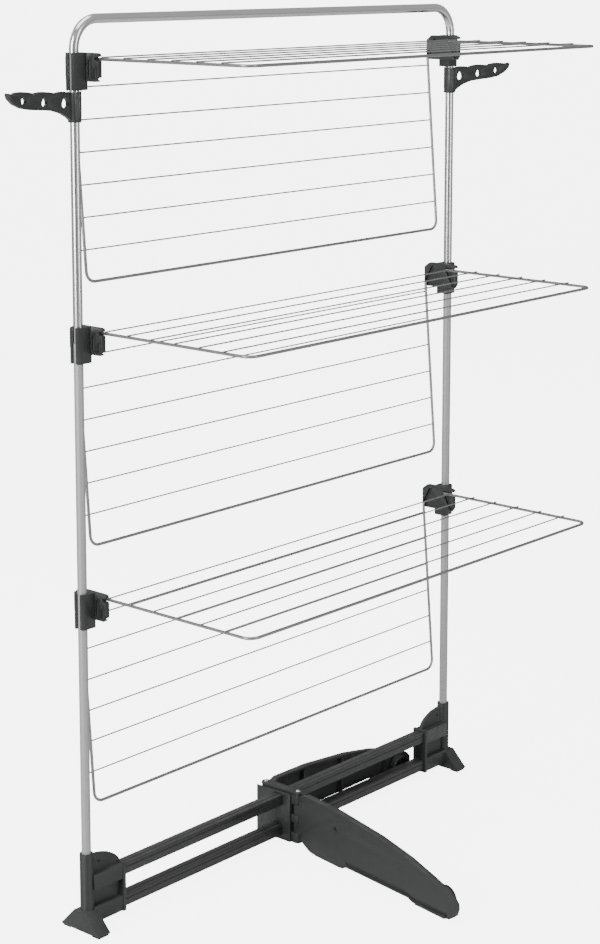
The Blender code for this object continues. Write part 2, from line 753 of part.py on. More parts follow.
def build_legs(airer):
    for row, face in (("front", -1.0), ("rear", 1.0)):
        name = f"leg_{row}"
        # The leg is drawn as it lies when folded: pointing along +X, with its wheel towards the rails.
        inward = -face
        open_turn = -(math.pi / 2 + LEG_YAW) if row == "front" else 0.0
        place = Matrix.Translation((HUB_X, face * HINGE_Y, 0)) @ Matrix.Rotation(open_turn, 4, "Z")
        wheel_s, wheel_z = WHEEL_AT
        leg = slab(name, [leg_outline(), circle(0.126, 0.0780, 0.0032, 8)], "Y", -LEG_HALF, LEG_HALF)
        airer.add(leg, PLASTIC, 0.0, 0.5)
        leg.matrix_local = place
        joined = []
        for i, (low, high) in enumerate(LEG_KNUCKLES):
            ear = circle(0, 0, KNUCKLE_R, 9, math.pi / 2, math.pi) + [(0.0160, -0.0062), (0.0160, 0.0062)]
            joined.append(slab(f"{name}_ear_{i}", [ear], "Z", low, high))

        def on_axle(offset, inward=inward, wheel_s=wheel_s, wheel_z=wheel_z):
            return (wheel_s, inward * offset, wheel_z)

        boss = rod(f"{name}_boss", on_axle(0.0), on_axle(WHEEL_FROM - 0.0006), 0.0085, 12)
        airer.join(leg, *joined, boss)
        cuts = [
            rod(f"{name}_pin_bore", (0, 0, -0.02), (0, 0, 0.15), PIN_BORE_R, 12),
            rod(f"{name}_axle_hole", on_axle(-0.0035), on_axle(0.0300), AXLE_R + 0.0004, 12),
        ]
        for i, (first, last, floor) in enumerate(LEG_POCKETS):
            sides = sorted((inward * (LEG_HALF - LEG_SKIN), inward * (LEG_HALF + 0.004)))
            cuts.append(slab(f"{name}_pocket_{i}", [leg_pocket(first, last, floor)], "Y", *sides))
        airer.cut(leg, *cuts)
        for shape in joined + [boss] + cuts:
            shape.matrix_local = place

        pad = airer.add(
            slab(f"leg_pad_{row}", [window(0.358, 0.444, -0.0052, 0.0052, 0.002)], "Z", 0.0, PAD_THICKNESS),
            RUBBER,
            0.0,
            0.9,
        )
        pad.matrix_local = place

        lie = Matrix.Rotation(-inward * math.pi / 2, 4, "X")
        hub = place @ Matrix.Translation((wheel_s, 0, wheel_z)) @ lie
        far = WHEEL_FROM + WHEEL_WIDTH
        wheel_profile = [
            (WHEEL_R, far - 0.0018),
            (WHEEL_R, WHEEL_FROM + 0.0018),
            (WHEEL_R - 0.0018, WHEEL_FROM),
            (AXLE_R + 0.0005, WHEEL_FROM),
            (AXLE_R + 0.0005, far),
            (WHEEL_R - 0.0018, far),
        ]
        wheel = turned(f"wheel_{row}", wheel_profile, 24, hub)
        place_turned(airer, wheel, PLASTIC, 0.0, 0.45)
        axle_profile = [
            (0.0, far + 0.0026),
            (0.0048, far + 0.0022),
            (0.0060, far + 0.0006),
            (AXLE_R, far + 0.0006),
            (AXLE_R, -0.0030),
            (0.0, -0.0030),
        ]
        place_turned(airer, turned(f"axle_{row}", axle_profile, 12, hub), ZINC, 1.0, 0.3)


def main():
    clear_scene()
    airer = Airer()
    build_frame(airer)
    build_clips(airer)
    build_shelves(airer)
    build_hangers(airer)
    build_rails(airer)
    build_feet(airer)
    build_hub(airer)
    build_legs(airer)
    bpy.context.view_layer.update()


main()
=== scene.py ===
"""Studio scene and finished surfaces of the free-standing tower clothes airer.

Laid out as an add-on: one operator for each group of like pieces and one for the stage. Metres, +Z up, X along
the base rails and +Y to the rear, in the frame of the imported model.
"""
import json
import math

import bmesh
import bpy
from bpy.props import FloatProperty, FloatVectorProperty, IntProperty, PointerProperty
from mathutils import Matrix, Vector


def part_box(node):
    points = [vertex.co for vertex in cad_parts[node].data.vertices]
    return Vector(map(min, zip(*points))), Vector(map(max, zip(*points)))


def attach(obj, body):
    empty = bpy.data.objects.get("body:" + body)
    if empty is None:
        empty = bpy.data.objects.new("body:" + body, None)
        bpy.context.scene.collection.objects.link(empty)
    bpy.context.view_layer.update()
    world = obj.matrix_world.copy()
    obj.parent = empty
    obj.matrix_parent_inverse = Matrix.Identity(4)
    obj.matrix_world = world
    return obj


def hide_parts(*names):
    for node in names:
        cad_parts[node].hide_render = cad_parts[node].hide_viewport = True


bl_info = {
    "name": "Tower Clothes Airer",
    "version": (1, 0, 0),
    "blender": (4, 5, 0),
    "location": "View3D > Sidebar > Airer",
    "description": "Builds the finished pieces of a folding tower clothes airer round its packed frame",
    "category": "Object",
}

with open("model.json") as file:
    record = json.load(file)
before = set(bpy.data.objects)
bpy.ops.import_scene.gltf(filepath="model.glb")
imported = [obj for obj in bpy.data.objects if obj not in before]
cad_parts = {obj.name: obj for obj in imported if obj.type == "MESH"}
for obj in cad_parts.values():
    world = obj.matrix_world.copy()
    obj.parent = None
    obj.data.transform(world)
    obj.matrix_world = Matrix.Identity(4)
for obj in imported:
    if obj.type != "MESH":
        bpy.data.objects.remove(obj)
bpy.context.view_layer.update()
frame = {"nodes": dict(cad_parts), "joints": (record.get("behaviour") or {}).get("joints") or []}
JOINTS = {joint["name"]: joint for joint in frame["joints"]}
SIDES = ("left", "right")
ROWS = ("front", "rear")
LEVELS = ("upper", "middle", "lower")
PIECES = "tower_clothes_airer"


def pivot(joint):
    """A point on a joint's axis."""
    return Vector(JOINTS[joint]["pos_m"])


def middle(node):
    low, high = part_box(node)
    return (low + high) / 2


def side_sign(side):
    return -1.0 if side == "left" else 1.0


# ---------------------------------------------------------------- places read from the frame
POST_LOW, POST_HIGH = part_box("post_lower_right")
POST_X = middle("post_lower_right").x
POST_Y = middle("post_lower_right").y
TUBE_R = (POST_HIGH.x - POST_LOW.x) / 2
TOP_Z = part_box("frame_hoop")[1].z
BEND_R = 0.054
TRACK_FLOOR = 0.0220
PLATE_INNER = 0.0280

# ---------------------------------------------------------------- shelves
GRID_X = 0.519
SIDE_WIRE_R = 0.0030
CROSS_WIRE_R = 0.0015
CROSS_PITCH = 0.059
CROSS_COUNT = 6
STUB_TO_CROSS = 0.021
SHELF_DEPTH = STUB_TO_CROSS + CROSS_COUNT * CROSS_PITCH
SHELF_CORNER_R = 0.020
CROSS_RISE = 0.0036
CROSS_OVERHANG = 0.0055
FOLD_ANGLE = math.radians(94.5)

# ---------------------------------------------------------------- legs
LEG_OPEN = {"front": math.radians(-99.0), "rear": 0.0}
LEG_HALF = 0.0070
WHEEL_AT = (0.424, 0.0285)
WHEEL_R = 0.0262
WHEEL_FROM = 0.0090
WHEEL_WIDTH = 0.0150


# ---------------------------------------------------------------- user settings
def colour(name, description, value):
    return FloatVectorProperty(
        name=name, description=description, default=value, subtype="COLOR", size=3, min=0, max=1
    )


class AirerColours(bpy.types.PropertyGroup):
    """Base colours of the finishes."""

    tube_bright: colour("Upper tube", "Bright coated steel of the inverted U", (0.74, 0.745, 0.745))
    tube_plain: colour("Lower posts", "Silver-grey coating of the lower posts", (0.40, 0.405, 0.405))
    wire: colour("Wire", "Grey coating of the shelf wires", (0.29, 0.293, 0.295))
    plastic: colour(
        "Mouldings", "Anthracite plastic of the clips, arms, feet and hub", (0.021, 0.0228, 0.0225)
    )
    rail: colour("Rails and legs", "Anthracite plastic of the rails and the legs", (0.023, 0.0248, 0.0245))
    roller: colour("Rollers", "Dark plastic of the wheels and bushes", (0.013, 0.0135, 0.014))
    rubber: colour("Pads", "Black rubber of the sole pads", (0.012, 0.012, 0.013))
    zinc: colour("Fasteners", "Zinc plating of the pins and screws", (0.78, 0.78, 0.76))


class AirerSizes(bpy.types.PropertyGroup):
    """Sizes of the fine detail."""

    edge: FloatProperty(
        name="Moulded edge",
        description="Width of the rounding on moulded edges",
        default=0.0008,
        unit="LENGTH",
    )
    grain: FloatProperty(
        name="Moulding grain", description="Height of the moulded grain", default=0.00006, unit="LENGTH"
    )
    weld: FloatProperty(
        name="Weld bead", description="Half length of a weld bead on the wires", default=0.0024, unit="LENGTH"
    )
    tube_sides: IntProperty(name="Tube sides", description="Facets round a tube", default=40, min=12, max=96)
    wire_sides: IntProperty(name="Wire sides", description="Facets round a wire", default=16, min=8, max=48)


def sizes():
    return bpy.context.scene.airer_sizes


def colours():
    return bpy.context.scene.airer_colours


# ---------------------------------------------------------------- shader groups
def group(name, inputs, outputs):
    """A shader node group with named value inputs and outputs, and its input and output nodes."""
    tree = bpy.data.node_groups.new(name, "ShaderNodeTree")
    for label, kind, value in inputs:
        socket = tree.interface.new_socket(label, in_out="INPUT", socket_type=kind)
        socket.default_value = value
    for label, kind in outputs:
        tree.interface.new_socket(label, in_out="OUTPUT", socket_type=kind)
    return tree, tree.nodes.new("NodeGroupInput"), tree.nodes.new("NodeGroupOutput")


def node(tree, kind, links=None, **settings):
    """A node with its settings, and its inputs linked to sockets or set to values."""
    made = tree.nodes.new(kind)
    for key, value in settings.items():
        setattr(made, key, value)
    for key, value in (links or {}).items():
        if isinstance(value, bpy.types.NodeSocket):
            tree.links.new(value, made.inputs[key])
        else:
            made.inputs[key].default_value = value
    return made


def math_node(tree, operation, a, b=0.0, c=0.0, clamp=False):
    return node(tree, "ShaderNodeMath", {0: a, 1: b, 2: c}, operation=operation, use_clamp=clamp).outputs[0]


def ramp(tree, value, low, high, out_low=0.0, out_high=1.0):
    """A value moved smoothly from one range to another."""
    links = {"Value": value, "From Min": low, "From Max": high, "To Min": out_low, "To Max": out_high}
    return node(tree, "ShaderNodeMapRange", links, interpolation_type="SMOOTHSTEP").outputs["Result"]


def noise(tree, vector, scale, detail=2.0, roughness=0.5):
    links = {"Vector": vector, "Scale": scale, "Detail": detail, "Roughness": roughness}
    return node(tree, "ShaderNodeTexNoise", links).outputs["Fac"]


def moulding_group():
    """Spark-eroded grain of moulded plastic, with a slow mottle and fine handling scuffs."""
    tree, source, target = group(
        "moulding_grain",
        [("Grain Scale", "NodeSocketFloat", 1500.0), ("Mottle Scale", "NodeSocketFloat", 16.0)],
        [("Height", "NodeSocketFloat"), ("Mottle", "NodeSocketFloat"), ("Scuff", "NodeSocketFloat")],
    )
    place = node(tree, "ShaderNodeTexCoord").outputs["Object"]
    cells = node(tree, "ShaderNodeTexVoronoi", {"Vector": place, "Scale": source.outputs["Grain Scale"]})
    fine = noise(tree, place, source.outputs["Grain Scale"], 3.0, 0.6)
    height = math_node(tree, "MULTIPLY_ADD", cells.outputs["Distance"], 0.6, fine)
    mottle = noise(tree, place, source.outputs["Mottle Scale"], 4.0, 0.55)
    scuff = ramp(tree, noise(tree, place, 150.0, 6.0, 0.7), 0.60, 0.76)
    tree.links.new(height, target.inputs["Height"])
    tree.links.new(mottle, target.inputs["Mottle"])
    tree.links.new(scuff, target.inputs["Scuff"])
    return tree


def edge_group():
    """Mask of the outer edges: real wear that polishes them, and a painted highlight that lightens them."""
    tree, source, target = group(
        "edge_wear_and_highlight",
        [("Start", "NodeSocketFloat", 0.52), ("Full", "NodeSocketFloat", 0.62)],
        [("Wear And Highlight", "NodeSocketFloat")],
    )
    point = node(tree, "ShaderNodeNewGeometry").outputs["Pointiness"]
    place = node(tree, "ShaderNodeTexCoord").outputs["Object"]
    broken = ramp(tree, noise(tree, place, 240.0, 5.0, 0.65), 0.36, 0.62)
    # Convex edges picked out by pointiness; the mouldings use this mask for real polish wear and for a painted edge
    # highlight.
    edge = ramp(tree, point, source.outputs["Start"], source.outputs["Full"])
    tree.links.new(math_node(tree, "MULTIPLY", edge, broken), target.inputs["Wear And Highlight"])
    return tree


def dust_group():
    """A light film of dust on what faces up, thicker in patches."""
    tree, source, target = group(
        "settled_dust", [("Amount", "NodeSocketFloat", 0.3)], [("Dust", "NodeSocketFloat")]
    )
    shape = node(tree, "ShaderNodeNewGeometry")
    up = node(tree, "ShaderNodeSeparateXYZ", {"Vector": shape.outputs["Normal"]}).outputs["Z"]
    place = node(tree, "ShaderNodeTexCoord").outputs["Object"]
    patches = ramp(tree, noise(tree, place, 38.0, 5.0, 0.6), 0.35, 0.75, 0.25, 1.0)
    facing = ramp(tree, up, 0.45, 0.98)
    patchy = math_node(tree, "MULTIPLY", facing, patches)
    amount = math_node(tree, "MULTIPLY", patchy, source.outputs["Amount"])
    tree.links.new(amount, target.inputs["Dust"])
    return tree


def drawn_group():
    """Long fine draw lines and a slow waviness along a swept tube or wire."""
    tree, source, target = group(
        "drawn_metal",
        [("Round Scale", "NodeSocketFloat", 900.0), ("Along Scale", "NodeSocketFloat", 9.0)],
        [("Height", "NodeSocketFloat"), ("Lines", "NodeSocketFloat"), ("Cloud", "NodeSocketFloat")],
    )
    place = node(tree, "ShaderNodeUVMap", uv_map="sweep").outputs["UV"]
    parts = node(tree, "ShaderNodeSeparateXYZ", {"Vector": place})
    around = math_node(tree, "MULTIPLY", parts.outputs["X"], source.outputs["Round Scale"])
    along = math_node(tree, "MULTIPLY", parts.outputs["Y"], source.outputs["Along Scale"])
    drawn = node(tree, "ShaderNodeCombineXYZ", {"X": around, "Y": along}).outputs["Vector"]
    lines = noise(tree, drawn, 1.0, 4.0, 0.65)
    spread = node(tree, "ShaderNodeCombineXYZ", {"X": math_node(tree, "MULTIPLY", around, 0.08), "Y": along})
    cloud = noise(tree, spread.outputs["Vector"], 1.4, 3.0, 0.5)
    tree.links.new(math_node(tree, "MULTIPLY_ADD", cloud, 0.5, lines), target.inputs["Height"])
    tree.links.new(lines, target.inputs["Lines"])
    tree.links.new(cloud, target.inputs["Cloud"])
    return tree


GROUPS = {}


def shared(name):
    """A shared node group, built once."""
    makers = {"grain": moulding_group, "edge": edge_group, "dust": dust_group, "drawn": drawn_group}
    if name not in GROUPS:
        GROUPS[name] = makers[name]()
    return GROUPS[name]


def use(tree, name, **values):
    made = node(tree, "ShaderNodeGroup", node_tree=shared(name))
    for key, value in values.items():
        made.inputs[key.replace("_", " ")].default_value = value
    return made.outputs


def blank(name, roughness, metallic, **constants):
    """A material with a Principled shader whose constants are set on its own sockets."""
    made = bpy.data.materials.new(name)
    made.use_nodes = True
    tree = made.node_tree
    shader = tree.nodes["Principled BSDF"]
    shader.inputs["Roughness"].default_value = roughness
    shader.inputs["Metallic"].default_value = metallic
    for key, value in constants.items():
        shader.inputs[key.replace("_", " ")].default_value = value
    return made, tree, shader


def tinted(tree, base, other, factor):
    """One colour mixed towards another by a changing factor."""
    links = {0: factor, 6: (*base, 1.0), 7: (*other, 1.0)}
    return node(tree, "ShaderNodeMix", links, data_type="RGBA").outputs[2]


def shade(tint, amount):
    return tuple(min(1.0, c * amount) for c in tint)


def bump(tree, shader, height, distance, strength=1.0):
    links = {"Height": height, "Distance": distance, "Strength": strength}
    made = node(tree, "ShaderNodeBump", links)
    tree.links.new(made.outputs["Normal"], shader.inputs["Normal"])


def moulded(name, tint, roughness, dust=0.25, grain=1500.0):
    """Moulded plastic: grain, mottled gloss, scuffs, rubbed edges lightened as a painted edge highlight, and a
    little dust.
    """
    made, tree, shader = blank(name, roughness, 0.0, Specular_IOR_Level=0.45)
    texture = use(tree, "grain", Grain_Scale=grain)
    wear_and_highlight = use(tree, "edge")["Wear And Highlight"]
    film = use(tree, "dust", Amount=dust)["Dust"]
    varied = tinted(tree, shade(tint, 0.93), shade(tint, 1.07), texture["Mottle"])
    # Painted highlight: outer edges lightened towards 2.3 times the tint, together with real rubbing wear.
    wear_highlight_share = math_node(tree, "MULTIPLY", wear_and_highlight, 0.55)
    rubbed_and_highlit = node(tree, "ShaderNodeMix", {0: wear_highlight_share, 6: varied}, data_type="RGBA")
    rubbed_and_highlit.inputs[7].default_value = (*shade(tint, 2.3), 1.0)
    dusty = node(tree, "ShaderNodeMix", {0: film, 6: rubbed_and_highlit.outputs[2]}, data_type="RGBA")
    dusty.inputs[7].default_value = (0.11, 0.11, 0.107, 1.0)
    tree.links.new(dusty.outputs[2], shader.inputs["Base Color"])
    gloss = math_node(tree, "MULTIPLY_ADD", texture["Mottle"], 0.16, roughness - 0.08)
    scuffed = math_node(tree, "MULTIPLY_ADD", texture["Scuff"], 0.10, gloss)
    settled = math_node(tree, "MULTIPLY_ADD", film, 0.5, scuffed)
    polished = math_node(tree, "MULTIPLY_ADD", wear_and_highlight, -0.14, settled, clamp=True)
    tree.links.new(polished, shader.inputs["Roughness"])
    bump(tree, shader, texture["Height"], sizes().grain)
    return made


def metal(name, tint, roughness, metallic, lines=0.12, depth=0.00002, round_scale=900.0, **constants):
    """Drawn metal: fine lines along the sweep, cloudy gloss and a trace of tarnish."""
    made, tree, shader = blank(name, roughness, metallic, **constants)
    texture = use(tree, "drawn", Round_Scale=round_scale)
    film = use(tree, "dust", Amount=0.12)["Dust"]
    drawn = tinted(tree, shade(tint, 1.0 - lines), shade(tint, 1.0 + lines), texture["Lines"])
    dusty = node(tree, "ShaderNodeMix", {0: film, 6: drawn}, data_type="RGBA")
    dusty.inputs[7].default_value = (0.42, 0.42, 0.41, 1.0)
    tree.links.new(dusty.outputs[2], shader.inputs["Base Color"])
    cloudy = math_node(tree, "MULTIPLY_ADD", texture["Cloud"], 0.14, roughness - 0.07)
    rough = math_node(tree, "MULTIPLY_ADD", texture["Lines"], 0.08, cloudy)
    tree.links.new(rough, shader.inputs["Roughness"])
    bump(tree, shader, texture["Height"], depth)
    return made


def plated(name, tint, roughness):
    """Zinc plate on small turned pieces: soft spangle and handling marks."""
    made, tree, shader = blank(name, roughness, 1.0)
    texture = use(tree, "grain", Grain_Scale=900.0, Mottle_Scale=300.0)
    varied = tinted(tree, shade(tint, 0.8), shade(tint, 1.1), texture["Mottle"])
    tree.links.new(varied, shader.inputs["Base Color"])
    rough = math_node(tree, "MULTIPLY_ADD", texture["Mottle"], 0.2, roughness - 0.1)
    tree.links.new(rough, shader.inputs["Roughness"])
    bump(tree, shader, texture["Mottle"], 0.00003)
    return made


FINISHES = {}


def finish(name):
    """A named finish, made the first time it is used."""
    tint = colours()
    makers = {
        "tube_bright": lambda: metal("tube_bright_coat", tint.tube_bright, 0.16, 1.0, 0.10, 0.000012),
        "tube_plain": lambda: metal("tube_silver_coat", tint.tube_plain, 0.46, 0.55, 0.05, 0.00001),
        "wire": lambda: metal("wire_grey_coat", tint.wire, 0.34, 0.9, 0.14, 0.00002, 2600.0),
        "clip": lambda: moulded("clip_plastic", tint.plastic, 0.40),
        "hanger": lambda: moulded("hanger_plastic", tint.plastic, 0.42),
        "base": lambda: moulded("base_plastic", tint.plastic, 0.46, 0.35),
        "rail": lambda: moulded("rail_plastic", tint.rail, 0.40, 0.45, 2200.0),
        "leg": lambda: moulded("leg_plastic", tint.rail, 0.48, 0.35),
        "bush": lambda: moulded("bush_plastic", tint.roller, 0.35, 0.1),
        "wheel": lambda: moulded("wheel_plastic", tint.roller, 0.44, 0.3),
        "pad": lambda: moulded("pad_rubber", tint.rubber, 0.72, 0.3, 900.0),
        "zinc": lambda: plated("zinc_plate", tint.zinc, 0.24),
    }
    if name not in FINISHES:
        FINISHES[name] = makers[name]()
    return FINISHES[name]


# ---------------------------------------------------------------- mesh tools
def collection():
    found = bpy.data.collections.get(PIECES)
    if found is None:
        found = bpy.data.collections.new(PIECES)
        bpy.context.scene.collection.children.link(found)
    return found


def piece(name, mesh, look, body, slot, *nodes, matrix=None, angle=32.0):
    """Make a mesh a finished piece that rides on a body and stands for the given nodes."""
    obj = bpy.data.objects.new(name, mesh)
    collection().objects.link(obj)
    if matrix is not None:
        obj.matrix_world = matrix
    mesh.materials.clear()
    mesh.materials.append(finish(look))
    mesh.shade_smooth()
    mesh.set_sharp_from_angle(angle=math.radians(angle))
    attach(obj, body)
    if nodes:
        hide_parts(*nodes)
    return obj


def circle_ring(radius, count):
    """Points of a round section."""
    turns = [2 * math.pi * i / count for i in range(count)]
    return [(radius * math.cos(t), radius * math.sin(t)) for t in turns]


def rounded_path(points, radii, steps):
    """An open run of points whose inner corners are replaced with arcs."""
    points = [Vector(p) for p in points]
    path = [points[0]]
    for before, corner, after, radius in zip(points, points[1:], points[2:], radii):
        into, out = (corner - before).normalized(), (after - corner).normalized()
        half = into.angle(out) / 2
        reach = radius * math.tan(half)
        centre = corner + (out - into).normalized() * (radius / math.cos(half))
        start = corner - into * reach - centre
        axis = into.cross(out).normalized()
        for i in range(steps + 1):
            path.append(centre + Matrix.Rotation(2 * half * i / steps, 3, axis) @ start)
    return path + [points[-1]]


def sweep(work, path, ring, up=(0.0, 0.0, 1.0), dome=0.0):
    """Sweep a closed section along a path; its UV map holds the distance round and the distance along.

    A dome rounds both ends of a round bar, within the path's own length.
    """
    layer = work.loops.layers.uv.get("sweep") or work.loops.layers.uv.new("sweep")
    path = [Vector(p) for p in path]
    stations = [(p, 1.0) for p in path]
    if dome:
        first = (path[1] - path[0]).normalized()
        last = (path[-2] - path[-1]).normalized()
        turns = [math.pi / 2 * i / 4 for i in range(5)]
        head = [(path[0] + first * dome * (1 - math.sin(t)), max(math.cos(t), 0.08)) for t in reversed(turns)]
        tail = [(path[-1] + last * dome * (1 - math.sin(t)), max(math.cos(t), 0.08)) for t in turns]
        stations = head + stations[1:-1] + tail
    spots = [spot for spot, _ in stations]
    tangents = []
    for i, spot in enumerate(spots):
        before, after = spots[max(i - 1, 0)], spots[min(i + 1, len(spots) - 1)]
        tangents.append((after - before).normalized())
    side = Vector(up).cross(tangents[0]).normalized()
    rows = []
    for i, (spot, scale) in enumerate(stations):
        if i:
            side = tangents[i - 1].rotation_difference(tangents[i]) @ side
        above = tangents[i].cross(side)
        rows.append([work.verts.new(spot + (side * a + above * b) * scale) for a, b in ring])
    around = [0.0]
    for first, second in zip(ring, ring[1:] + ring[:1]):
        around.append(around[-1] + math.dist(first, second))
    along = 0.0
    count = len(ring)
    for i, (low, high) in enumerate(zip(rows, rows[1:])):
        step = (spots[i + 1] - spots[i]).length
        for k in range(count):
            n = (k + 1) % count
            face = work.faces.new((low[k], low[n], high[n], high[k]))
            corners = ((k, 0.0), (k + 1, 0.0), (k + 1, step), (k, step))
            for loop, (place, shift) in zip(face.loops, corners):
                loop[layer].uv = (around[place], along + shift)
        along += step
    work.faces.new(list(reversed(rows[0])))
    work.faces.new(rows[-1])


def bead(work, place, half):
    """A small flattened weld bead."""
    shape = Matrix.Translation(place) @ Matrix.Diagonal((half[0], half[1], half[2], 1.0))
    bmesh.ops.create_icosphere(work, subdivisions=2, radius=1.0, matrix=shape)


def to_mesh(work, name):
    mesh = bpy.data.meshes.new(name)
    bmesh.ops.recalc_face_normals(work, faces=work.faces)
    work.to_mesh(mesh)
    work.free()
    return mesh


def swept(name, path, ring, up=(0.0, 0.0, 1.0), dome=0.0):
    work = bmesh.new()
    sweep(work, path, ring, up, dome)
    return to_mesh(work, name)


def lathe(name, profile, steps):
    """A closed half section of (radius, height) pairs turned round Z; points on the axis close it."""
    work = bmesh.new()
    verts = [work.verts.new((r, 0.0, z)) for r, z in profile]
    edges = [work.edges.new(pair) for pair in zip(verts, verts[1:])]
    if min(r for r, _ in profile) > 0:
        edges.append(work.edges.new((verts[-1], verts[0])))
    bmesh.ops.spin(
        work,
        geom=verts + edges,
        axis=(0, 0, 1),
        cent=(0, 0, 0),
        steps=steps,
        angle=2 * math.pi,
        use_duplicate=False,
    )
    bmesh.ops.remove_doubles(work, verts=work.verts, dist=1e-6)
    return to_mesh(work, name)


def rounded_section(width, height, radius, steps=4):
    """A rectangle with round corners."""
    points = []
    for sx, sy, start in ((1, 1, 0), (-1, 1, 1), (-1, -1, 2), (1, -1, 3)):
        for i in range(steps + 1):
            t = math.pi / 2 * (start + i / steps)
            x = sx * (width / 2 - radius) + radius * math.cos(t)
            y = sy * (height / 2 - radius) + radius * math.sin(t)
            points.append((x, y))
    return points


def prism(outline, axis, low, high):
    """A temporary solid: a flat outline given thickness along an axis."""
    work = bmesh.new()
    ends = []
    for level in (low, high):
        place = {"X": lambda a, b: (level, a, b), "Y": lambda a, b: (a, level, b), "Z": lambda a, b: (a, b, level)}
        ends.append([work.verts.new(place[axis](a, b)) for a, b in outline])
    count = len(outline)
    for k in range(count):
        n = (k + 1) % count
        work.faces.new((ends[0][k], ends[0][n], ends[1][n], ends[1][k]))
    work.faces.new(ends[0])
    work.faces.new(ends[1])
    return to_mesh(work, "tool")


def cube(low, high):
    low, high = Vector(low), Vector(high)
    shape = Matrix.Translation((low + high) / 2) @ Matrix.Diagonal((*(high - low), 1.0))
    work = bmesh.new()
    bmesh.ops.create_cube(work, size=1.0, matrix=shape)
    return to_mesh(work, "tool")


def cylinder(start, end, radius, sides):
    start, end = Vector(start), Vector(end)
    turn = (end - start).to_track_quat("Z", "Y").to_matrix().to_4x4()
    shape = Matrix.Translation((start + end) / 2) @ turn
    work = bmesh.new()
    depth = (end - start).length
    bmesh.ops.create_cone(
        work, cap_ends=True, segments=sides, radius1=radius, radius2=radius, depth=depth, matrix=shape
    )
    return to_mesh(work, "tool")


def shaped(name, mesh, cuts=(), joins=(), width=None, matrix=None, angle=33.0):
    """A mesh cut and joined with tool meshes, with its sharp edges rounded; the tools are then removed."""
    link = bpy.context.scene.collection.objects.link
    obj = bpy.data.objects.new(name, mesh)
    link(obj)
    tools = []
    for operation, shapes in (("UNION", joins), ("DIFFERENCE", cuts)):
        for shape in shapes:
            tool = bpy.data.objects.new("tool", shape)
            if matrix is not None:
                tool.matrix_world = matrix
            link(tool)
            tools.append(tool)
            modifier = obj.modifiers.new(operation.lower(), "BOOLEAN")
            modifier.operation = operation
            modifier.solver = "EXACT"
            modifier.object = tool
    if width:
        weld = obj.modifiers.new("weld", "WELD")
        weld.merge_threshold = 0.00002
        flat = obj.modifiers.new("flatten", "DECIMATE")
        flat.decimate_type = "DISSOLVE"
        flat.angle_limit = math.radians(0.6)
        soft = obj.modifiers.new("soften", "BEVEL")
        soft.limit_method = "ANGLE"
        soft.angle_limit = math.radians(angle)
        soft.width = width
        soft.segments = 2
        soft.use_clamp_overlap = True
    bpy.context.view_layer.update()
    graph = bpy.context.evaluated_depsgraph_get()
    made = bpy.data.meshes.new_from_object(obj.evaluated_get(graph))
    for tool in [*tools, obj]:
        bpy.data.objects.remove(tool, do_unlink=True)
    made.name = name
    return made


def copy_of(node_name):
    return frame["nodes"][node_name].data.copy()


# ---------------------------------------------------------------- tubes
class AIRER_OT_tubes(bpy.types.Operator):
    """Bend the bright upper tube and stand the grey lower posts under it"""

    bl_idname = "airer.tubes"
    bl_label = "Tube Frame"

    def execute(self, context):
        ring = circle_ring(TUBE_R, sizes().tube_sides)
        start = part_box("frame_hoop")[0].z
        top = TOP_Z - TUBE_R
        corners = [(-POST_X, POST_Y, start), (-POST_X, POST_Y, top)]
        corners += [(POST_X, POST_Y, top), (POST_X, POST_Y, start)]
        path = rounded_path(corners, [BEND_R, BEND_R], 18)
        hoop = swept("upper_tube", path, ring, (0, 1, 0))
        piece("upper_tube", hoop, "tube_bright", "frame", "tube_upper", "frame_hoop")
        for side in SIDES:
            x = side_sign(side) * POST_X
            run = [(x, POST_Y, POST_LOW.z), (x, POST_Y, POST_LOW.z + 0.4), (x, POST_Y, POST_HIGH.z)]
            post = swept(f"lower_post_{side}", run, ring, (0, 1, 0))
            piece(f"lower_post_{side}", post, "tube_plain", "frame", "tube_lower", f"post_lower_{side}")
            frame["nodes"][f"post_joiner_{side}"].data.materials.clear()
            frame["nodes"][f"post_joiner_{side}"].data.materials.append(finish("bush"))
        return {"FINISHED"}


# ---------------------------------------------------------------- clips
def screw_mesh(name):
    """A low domed screw head with a cross recess, on a short shank."""
    dome = [(0.0, 0.0024), (0.0016, 0.0023), (0.0030, 0.0018)]
    dome += [(0.0040, 0.0010), (0.0044, 0.0004), (0.0043, 0.0003)]
    head = lathe(name, [*dome, (0.0019, 0.0003), (0.0019, -0.0040), (0.0, -0.0040)], 28)
    slots = [cube((-0.0021, -0.00035, 0.0012), (0.0021, 0.00035, 0.0030))]
    slots.append(cube((-0.00035, -0.0021, 0.0012), (0.00035, 0.0021, 0.0030)))
    return shaped(name, head, cuts=slots)


RIB_FACE = (0.0166, 0.0183)  # how far each rib's inner and outer face stands in from the post's middle
RIB_HALF = 0.0005
# Each rib's distance from the post along Y, and its foot and top measured from the shelf pivot.
CLIP_RIBS = ((0.0167, -0.036, 0.002), (0.0274, -0.036, 0.002), (0.0309, -0.0365, -0.0148))


